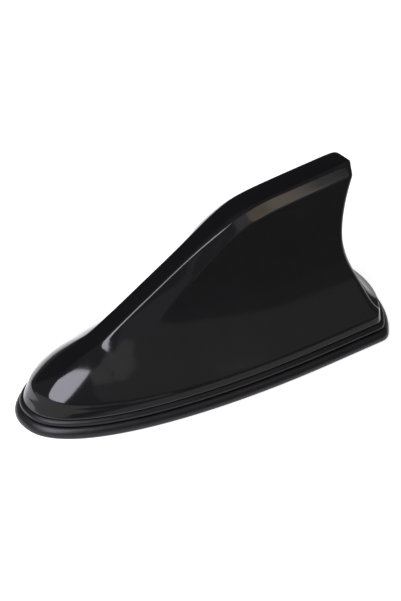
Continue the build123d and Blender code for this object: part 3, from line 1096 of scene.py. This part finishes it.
@dataclass
class FinCover:
    """The gloss fin: an outer skin on a creased skirt, an inner skin one wall in, and four screw bosses."""

    plan: PlanOutline
    wall: float = 2.2
    sharp_angle: float = 40.0
    # Rounding of the inner skin at the crest edge, the rear corners and the tip, and its coarser grid
    inner_crest_round: float = 0.6
    inner_stern_round: float = 1.2
    inner_tip_round: float = 1.0
    inner_grid: FinGrid = FinGrid(foot_rows=12, row_count=52)
    # Heights down the skirt's face below the fin's foot, and how far its round lower edge is tucked in
    skirt_z: tuple[float, ...] = (9.9, 9.75, 9.5, 9.1, 8.5, 7.9, 7.42, 7.14, 7.04, 7.0)
    skirt_tuck: tuple[float, ...] = (0.0, 0.0, 0.0, 0.0, 0.0, 0.0, 0.0, 0.02, 0.07, 0.16)
    crease_fade: float = 0.4
    boss_places: tuple[Pair, ...] = ((58.0, 7.5), (58.0, -7.5), (-46.0, 20.0), (-46.0, -20.0))
    boss_radius: float = 3.3
    boss_low_z: float = 4.2
    boss_columns: int = 48
    pilot_radius: float = 1.35
    pilot_top_z: float = 12.0

    def build(self) -> bpy.types.Object:
        """Makes the cover and dresses it.

        Returns:
            The finished piece.
        """
        skirt = Skirt(self.plan)
        lining = FinForm(
            self.plan,
            self.wall,
            self.inner_grid,
            crest_round=self.inner_crest_round,
            stern_round=self.inner_stern_round,
            tip_round=self.inner_tip_round,
        )
        outer = self.skin(skirt, FinForm(self.plan))
        inner = self.skin(skirt, lining)
        face = self.skirt_face(skirt, outer[0][0], outer[1][0])
        x, y, z = (np.concatenate([over[::-1], low, under]) for over, low, under in zip(outer, face, inner))
        ring_x, ring_y = mirrored(x, y)
        ring_z, _ = mirrored(z, z)
        shell = Shell()
        shell.add_rings(np.stack([ring_x, ring_y, ring_z], axis=-1), closed=False)
        for place in self.boss_places:
            shell.add_rings(self.boss(place), closed=False)
        return shell.piece("cover_skin", Slot.FIN_COVER, GLOSS_ABS, self.sharp_angle)

    def skin(self, skirt: Skirt, form: FinForm) -> tuple[Array, Array, Array]:
        """Half rings of one skin of the fin, drawn in to the skirt's slope at the crease."""
        x, y, z = form.half_rings()
        return (*skirt.trim(x, y, z, form.inset), z)

    def skirt_face(self, skirt: Skirt, crease_x: Array, crease_y: Array) -> tuple[Array, Array, Array]:
        """Half rings down the skirt's face, and the lowest one of its lining.

        The rounded crease differs a little from the skirt's outline. The face takes up that difference,
        which fades out down the face as an exponential of the height.

        Args:
            skirt: The skirt.
            crease_x: Places of the crease along the object.
            crease_y: Its places across the object.

        Returns:
            The x, y and z of the points, one row for each height.
        """
        share = running_length(crease_x, crease_y)
        share = share / share[-1]
        heights = np.array([skirt.crease_z, *self.skirt_z])
        tuck = np.array([0.0, *self.skirt_tuck])
        side, nose = skirt.insets(heights, 0.0)
        face_x, face_y = self.plan.half_rings(side + tuck, nose + tuck, share)
        fade = np.exp((heights - skirt.crease_z) / self.crease_fade)[:, None]
        face_x = face_x + fade * (crease_x - face_x[0])
        face_y = face_y + fade * (crease_y - face_y[0])
        lining_x, lining_y = self.plan.half_rings(*skirt.insets(np.array([skirt.seat_z]), self.wall), share)
        x, y = np.concatenate([face_x[1:], lining_x]), np.concatenate([face_y[1:], lining_y])
        return x, y, np.array([*self.skirt_z, skirt.seat_z])[:, None] + 0 * x

    def boss(self, place: Pair) -> Array:
        """A screw boss: rings of a drilled post, from the end of its pilot hole to its root in the wall.

        Args:
            place: Middle of the boss.

        Returns:
            Points as rows, columns and x, y, z.
        """
        turn = np.linspace(0, 2 * np.pi, self.boss_columns, endpoint=False)[None, :]
        radius = np.array([self.pilot_radius, self.pilot_radius, self.boss_radius, self.boss_radius])[:, None]
        x = place[0] + radius * np.cos(turn)
        y = place[1] + radius * np.sin(turn)
        middle = FinForm(self.plan, self.wall / 2)
        low, high = np.full(turn.shape, middle.crease_z), middle.crest(x[-1:])
        root = halve(lambda height: middle.half_at(x[-1:], height) - np.abs(y[-1:]), low, high)
        ends = np.array([self.pilot_top_z, self.boss_low_z, self.boss_low_z])[:, None] + 0 * turn
        return np.stack([x, y, np.concatenate([ends, root])], axis=-1)


@dataclass
class RubberGasket:
    """The rubber foot: a round bead on the roof, a groove, a lip under the cover and a slot for the plate."""

    plan: PlanOutline
    sharp_angle: float = 38.0
    columns: int = 230
    # Insets and heights round the section, from the roof up the outside
    bead: tuple[Pair, ...] = ((0.9, 0.0), (0.2, 0.6), (0.01, 1.6), (0.4, 2.8), (1.5, 3.8), (2.95, 4.3))
    lip: tuple[Pair, ...] = ((2.95, 4.3), (2.1, 4.8), (1.95, 5.5), (2.25, 6.2), (3.1, 6.7))
    inside: tuple[Pair, ...] = (
        (4.2, 6.7),
        (4.2, 7.0),
        (7.0, 7.0),
        (7.0, 4.0),
        (5.4, 4.0),
        (5.4, 2.4),
        (7.0, 2.4),
        (7.0, 0.0),
    )

    def build(self) -> bpy.types.Object:
        """Carries the section round the outline and dresses it.

        Returns:
            The finished piece.
        """
        section = np.concatenate([flowing(self.bead)[:-1], flowing(self.lip), np.array(self.inside)])
        inset, height = section.T
        ring_x, ring_y = mirrored(*self.plan.half_rings(inset, inset, np.linspace(0, 1, self.columns)))
        ring_z = height[:, None] + 0 * ring_x
        shell = Shell()
        shell.add_rings(np.stack([ring_x, ring_y, ring_z], axis=-1), closed=True)
        return shell.piece("gasket_ring", Slot.RUBBER_GASKET, MOULDED_RUBBER, self.sharp_angle)


@dataclass
class Hardware:
    """The pieces that keep their packed form: plate, pad, grommet, screws, boards and the parts on them."""

    finishes: dict[Slot, Finish] = field(
        default_factory=lambda: {
            Slot.BASE_PLATE: SATIN_ABS,
            Slot.ADHESIVE_PAD: FOAM_TAPE,
            Slot.LEAD_GROMMET: GROMMET_RUBBER,
            Slot.COVER_SCREWS: ZINC_STEEL,
            Slot.BOARD_SCREWS: ZINC_STEEL,
            Slot.AMPLIFIER_BOARD: MASKED_BOARD,
            Slot.AERIAL_BOARD: BARE_BOARD,
            Slot.AERIAL_TRACK: ETCHED_COPPER,
            Slot.SHIELD_CAN: PRESSED_TIN,
            Slot.AMPLIFIER_CHIP: MOULDED_EPOXY,
            Slot.LEAD_SOCKET: GOLD_BRASS,
            Slot.MATCHING_COIL: WOUND_WIRE,
            Slot.CAPACITORS: FIRED_CERAMIC,
            Slot.RESISTORS: GLAZED_ALUMINA,
        }
    )

    def dress(self) -> None:
        """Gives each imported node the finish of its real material."""
        for slot, finish in self.finishes.items():
            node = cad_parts[slot.value]
            node.data.materials.clear()
            node.data.materials.append(finish.build())
            LOG.info("%s: %s", slot.value, finish.name)


@dataclass(frozen=True)
class Softbox:
    """A rectangular studio lamp that faces a given point."""

    name: str
    centre: Place
    aim: Place
    width: float
    height: float
    radiance: float
    turn: float = 0.0
    colour: str = "#ffffff"

    def build(self) -> bpy.types.Object:
        """Hangs the lamp.

        Returns:
            The lamp.
        """
        lamp = bpy.data.lights.new(self.name, "AREA")
        lamp.shape = "RECTANGLE"
        lamp.size, lamp.size_y = self.width * MM, self.height * MM
        lamp.energy = LAMP_WATTS * self.radiance * lamp.size * lamp.size_y
        lamp.color = linear(self.colour)[:3]
        place = bpy.data.objects.new(self.name, lamp)
        place.location = Vector(self.centre) * MM
        facing = (Vector(self.aim) - Vector(self.centre)).to_track_quat("-Z", "Y")
        place.rotation_mode = "QUATERNION"
        place.rotation_quaternion = facing @ Quaternion((0, 0, 1), math.radians(self.turn))
        place.visible_camera = False
        bpy.context.scene.collection.objects.link(place)
        return place


def stage_sheet(name: str, corners: Array, paper: bpy.types.Material) -> bpy.types.Object:
    """Makes a flat sheet with four corners for the floor or a card.

    Args:
        name: Name of the sheet.
        corners: Its corners, in order round the sheet.
        paper: Its material, whose glow isn't sampled as a lamp.

    Returns:
        The sheet.
    """
    paper.cycles.emission_sampling = "NONE"
    mesh = bpy.data.meshes.new(name)
    mesh.from_pydata(corners * MM, [], [[0, 1, 2, 3]])
    mesh.materials.append(paper)
    sheet = bpy.data.objects.new(name, mesh)
    bpy.context.scene.collection.objects.link(sheet)
    return sheet


@dataclass(frozen=True)
class Card:
    """A grey or white card round the object, out of the camera's sight, that the gloss mirrors."""

    name: str
    corners: tuple[Place, ...]
    level: float

    def build(self) -> bpy.types.Object:
        """Sets the card up.

        Returns:
            The card.
        """
        paper = blank_material(self.name + "_paper")
        glow = add_node(paper.node_tree, "ShaderNodeEmission", {"Strength": self.level})
        add_node(paper.node_tree, "ShaderNodeOutputMaterial", {"Surface": glow.outputs[0]})
        card = stage_sheet(self.name, np.array(self.corners), paper)
        card.visible_camera = card.visible_shadow = card.visible_diffuse = False
        return card


@dataclass
class Studio:
    """Pale floor, soft lamps, cards and the camera."""

    floor_half: float = 1600.0
    floor_z: float = -0.1
    floor_colour: str = "#e6e6e6"
    # Glow of the floor as the camera and gloss see it, and the even light of the room
    backing: float = 0.75
    world_level: float = 0.16
    # Camera: the point that it faces, its distance, its angles, its optics, and the shift of the image
    target: Place = (1.45, 0.0, 25.0)
    distance: float = 800.0
    azimuth: float = 144.09
    elevation: float = 34.0
    lens: float = 126.65
    sensor: float = 36.0
    clip: Pair = (10.0, 20000.0)
    shift_pixels: Pair = (4.5, 0.35)
    image_height: int = 601
    # A large cool lamp ahead of the nose, which faces down, and a small warm one above the tail
    lamps: tuple[Softbox, ...] = (
        Softbox("lamp_front", (564.0, 182.0, 478.0), (564.0, 182.0, 0.0), 870.0, 465.0, 6.0, 30.0, "#f4f2ff"),
        Softbox("lamp_side", (-171.0, 234.0, 424.0), (-35.0, 7.0, 60.0), 180.0, 140.0, 1.05, 0.0, "#ffe6cc"),
    )
    # Foot, back and floor lie on the ground, side, sky, far, turn and front stand round the object, and
    # top and band hang over its near side.
    cards: tuple[Card, ...] = (
        Card("card_foot", ((-900, 46, 0), (400, 46, 0), (400, 78, 0), (-900, 78, 0)), 0.55),
        Card("card_back", ((-900, -500, 0), (-92, -500, 0), (-92, 46, 0), (-900, 46, 0)), 0.7),
        Card("card_floor", ((-900, 78, 0), (400, 78, 0), (400, 750, 0), (-900, 750, 0)), 0.13),
        Card("card_side", ((-900, 750, 0), (400, 750, 0), (400, 750, 230), (-900, 750, 230)), 0.14),
        Card("card_sky", ((-700, 700, 380), (200, 700, 380), (200, 700, 1150), (-700, 700, 1150)), 0.3),
        Card("card_top", ((-150, 330, 900), (120, 330, 900), (120, 640, 900), (-150, 640, 900)), 0.6),
        Card("card_far", ((-900, -700, 330), (500, -700, 330), (500, -700, 1100), (-900, -700, 1100)), 0.04),
        Card("card_band", ((-301, 345, 480), (-375, 276, 480), (-255, 175, 480), (-208, 218, 480)), 0.6),
        Card("card_turn", ((282, 530, 0), (-60, 620, 0), (-60, 620, 130), (282, 530, 130)), 0.45),
        Card("card_front", ((460, -386, 0), (282, 530, 0), (282, 530, 130), (460, -386, 130)), 0.7),
    )

    def build(self) -> None:
        """Sets up floor, lamps, cards, world and camera."""
        self.lay_floor()
        for thing in (*self.lamps, *self.cards):
            thing.build()
        world = bpy.data.worlds.new("studio_room")
        world.use_nodes = True
        background = world.node_tree.nodes["Background"]
        background.inputs["Color"].default_value = (*3 * [self.world_level], 1.0)
        bpy.context.scene.world = world
        bpy.context.scene.view_settings.view_transform = "Standard"
        self.set_camera()

    def lay_floor(self) -> bpy.types.Object:
        """Lays the pale paper floor, which shows as white to the camera and in gloss, and keeps the shadow.

        From below it is clear, so that a view from there shows the object's foot.

        Returns:
            The floor.
        """
        paper = blank_material("paper_white_matt")
        tree = paper.node_tree
        path = add_node(tree, "ShaderNodeLightPath").outputs
        seen = path["Is Camera Ray"]
        for ray in ("Is Glossy Ray", "Is Transmission Ray"):
            seen = add_node(tree, "ShaderNodeMath", {0: seen, 1: path[ray]}, operation="MAXIMUM").outputs[0]
        level = add_node(tree, "ShaderNodeMath", {0: seen, 1: self.backing}, operation="MULTIPLY")
        matt = add_node(tree, "ShaderNodeBsdfDiffuse", {"Color": linear(self.floor_colour)})
        glow = add_node(tree, "ShaderNodeEmission", {"Strength": level.outputs[0]})
        both = add_node(tree, "ShaderNodeAddShader", {0: matt.outputs[0], 1: glow.outputs[0]})
        clear = add_node(tree, "ShaderNodeBsdfTransparent")
        below = add_node(tree, "ShaderNodeNewGeometry").outputs["Backfacing"]
        sheet = add_node(tree, "ShaderNodeMixShader", {0: below, 1: both.outputs[0], 2: clear.outputs[0]})
        add_node(tree, "ShaderNodeOutputMaterial", {"Surface": sheet.outputs[0]})
        side, z = self.floor_half, self.floor_z
        corners = np.array([[-side, -side, z], [side, -side, z], [side, side, z], [-side, side, z]])
        floor = stage_sheet("floor", corners, paper)
        return floor

    def set_camera(self) -> bpy.types.Object:
        """Places the camera at the viewing angle of the object.

        Returns:
            The camera.
        """
        turn, rise = math.radians(self.azimuth), math.radians(self.elevation)
        back = Vector((math.sin(turn) * math.cos(rise), -math.cos(turn) * math.cos(rise), math.sin(rise)))
        data = bpy.data.cameras.new("camera")
        data.lens = self.lens
        data.sensor_width = self.sensor
        data.shift_x, data.shift_y = (pixels / self.image_height for pixels in self.shift_pixels)
        data.clip_start, data.clip_end = (distance * MM for distance in self.clip)
        camera = bpy.data.objects.new("camera", data)
        camera.location = (Vector(self.target) + back * self.distance) * MM
        camera.rotation_mode = "QUATERNION"
        camera.rotation_quaternion = (-back).to_track_quat("-Z", "Y")
        bpy.context.scene.collection.objects.link(camera)
        bpy.context.scene.camera = camera
        return camera


def main() -> None:
    """Builds the cover, the gasket, the hardware and the studio."""
    logging.basicConfig(level=logging.INFO, format="%(name)s: %(message)s")
    plan = PlanOutline()
    FinCover(plan).build()
    RubberGasket(plan).build()
    Hardware().dress()
    Studio().build()


if __name__ == "__main__":
    main()
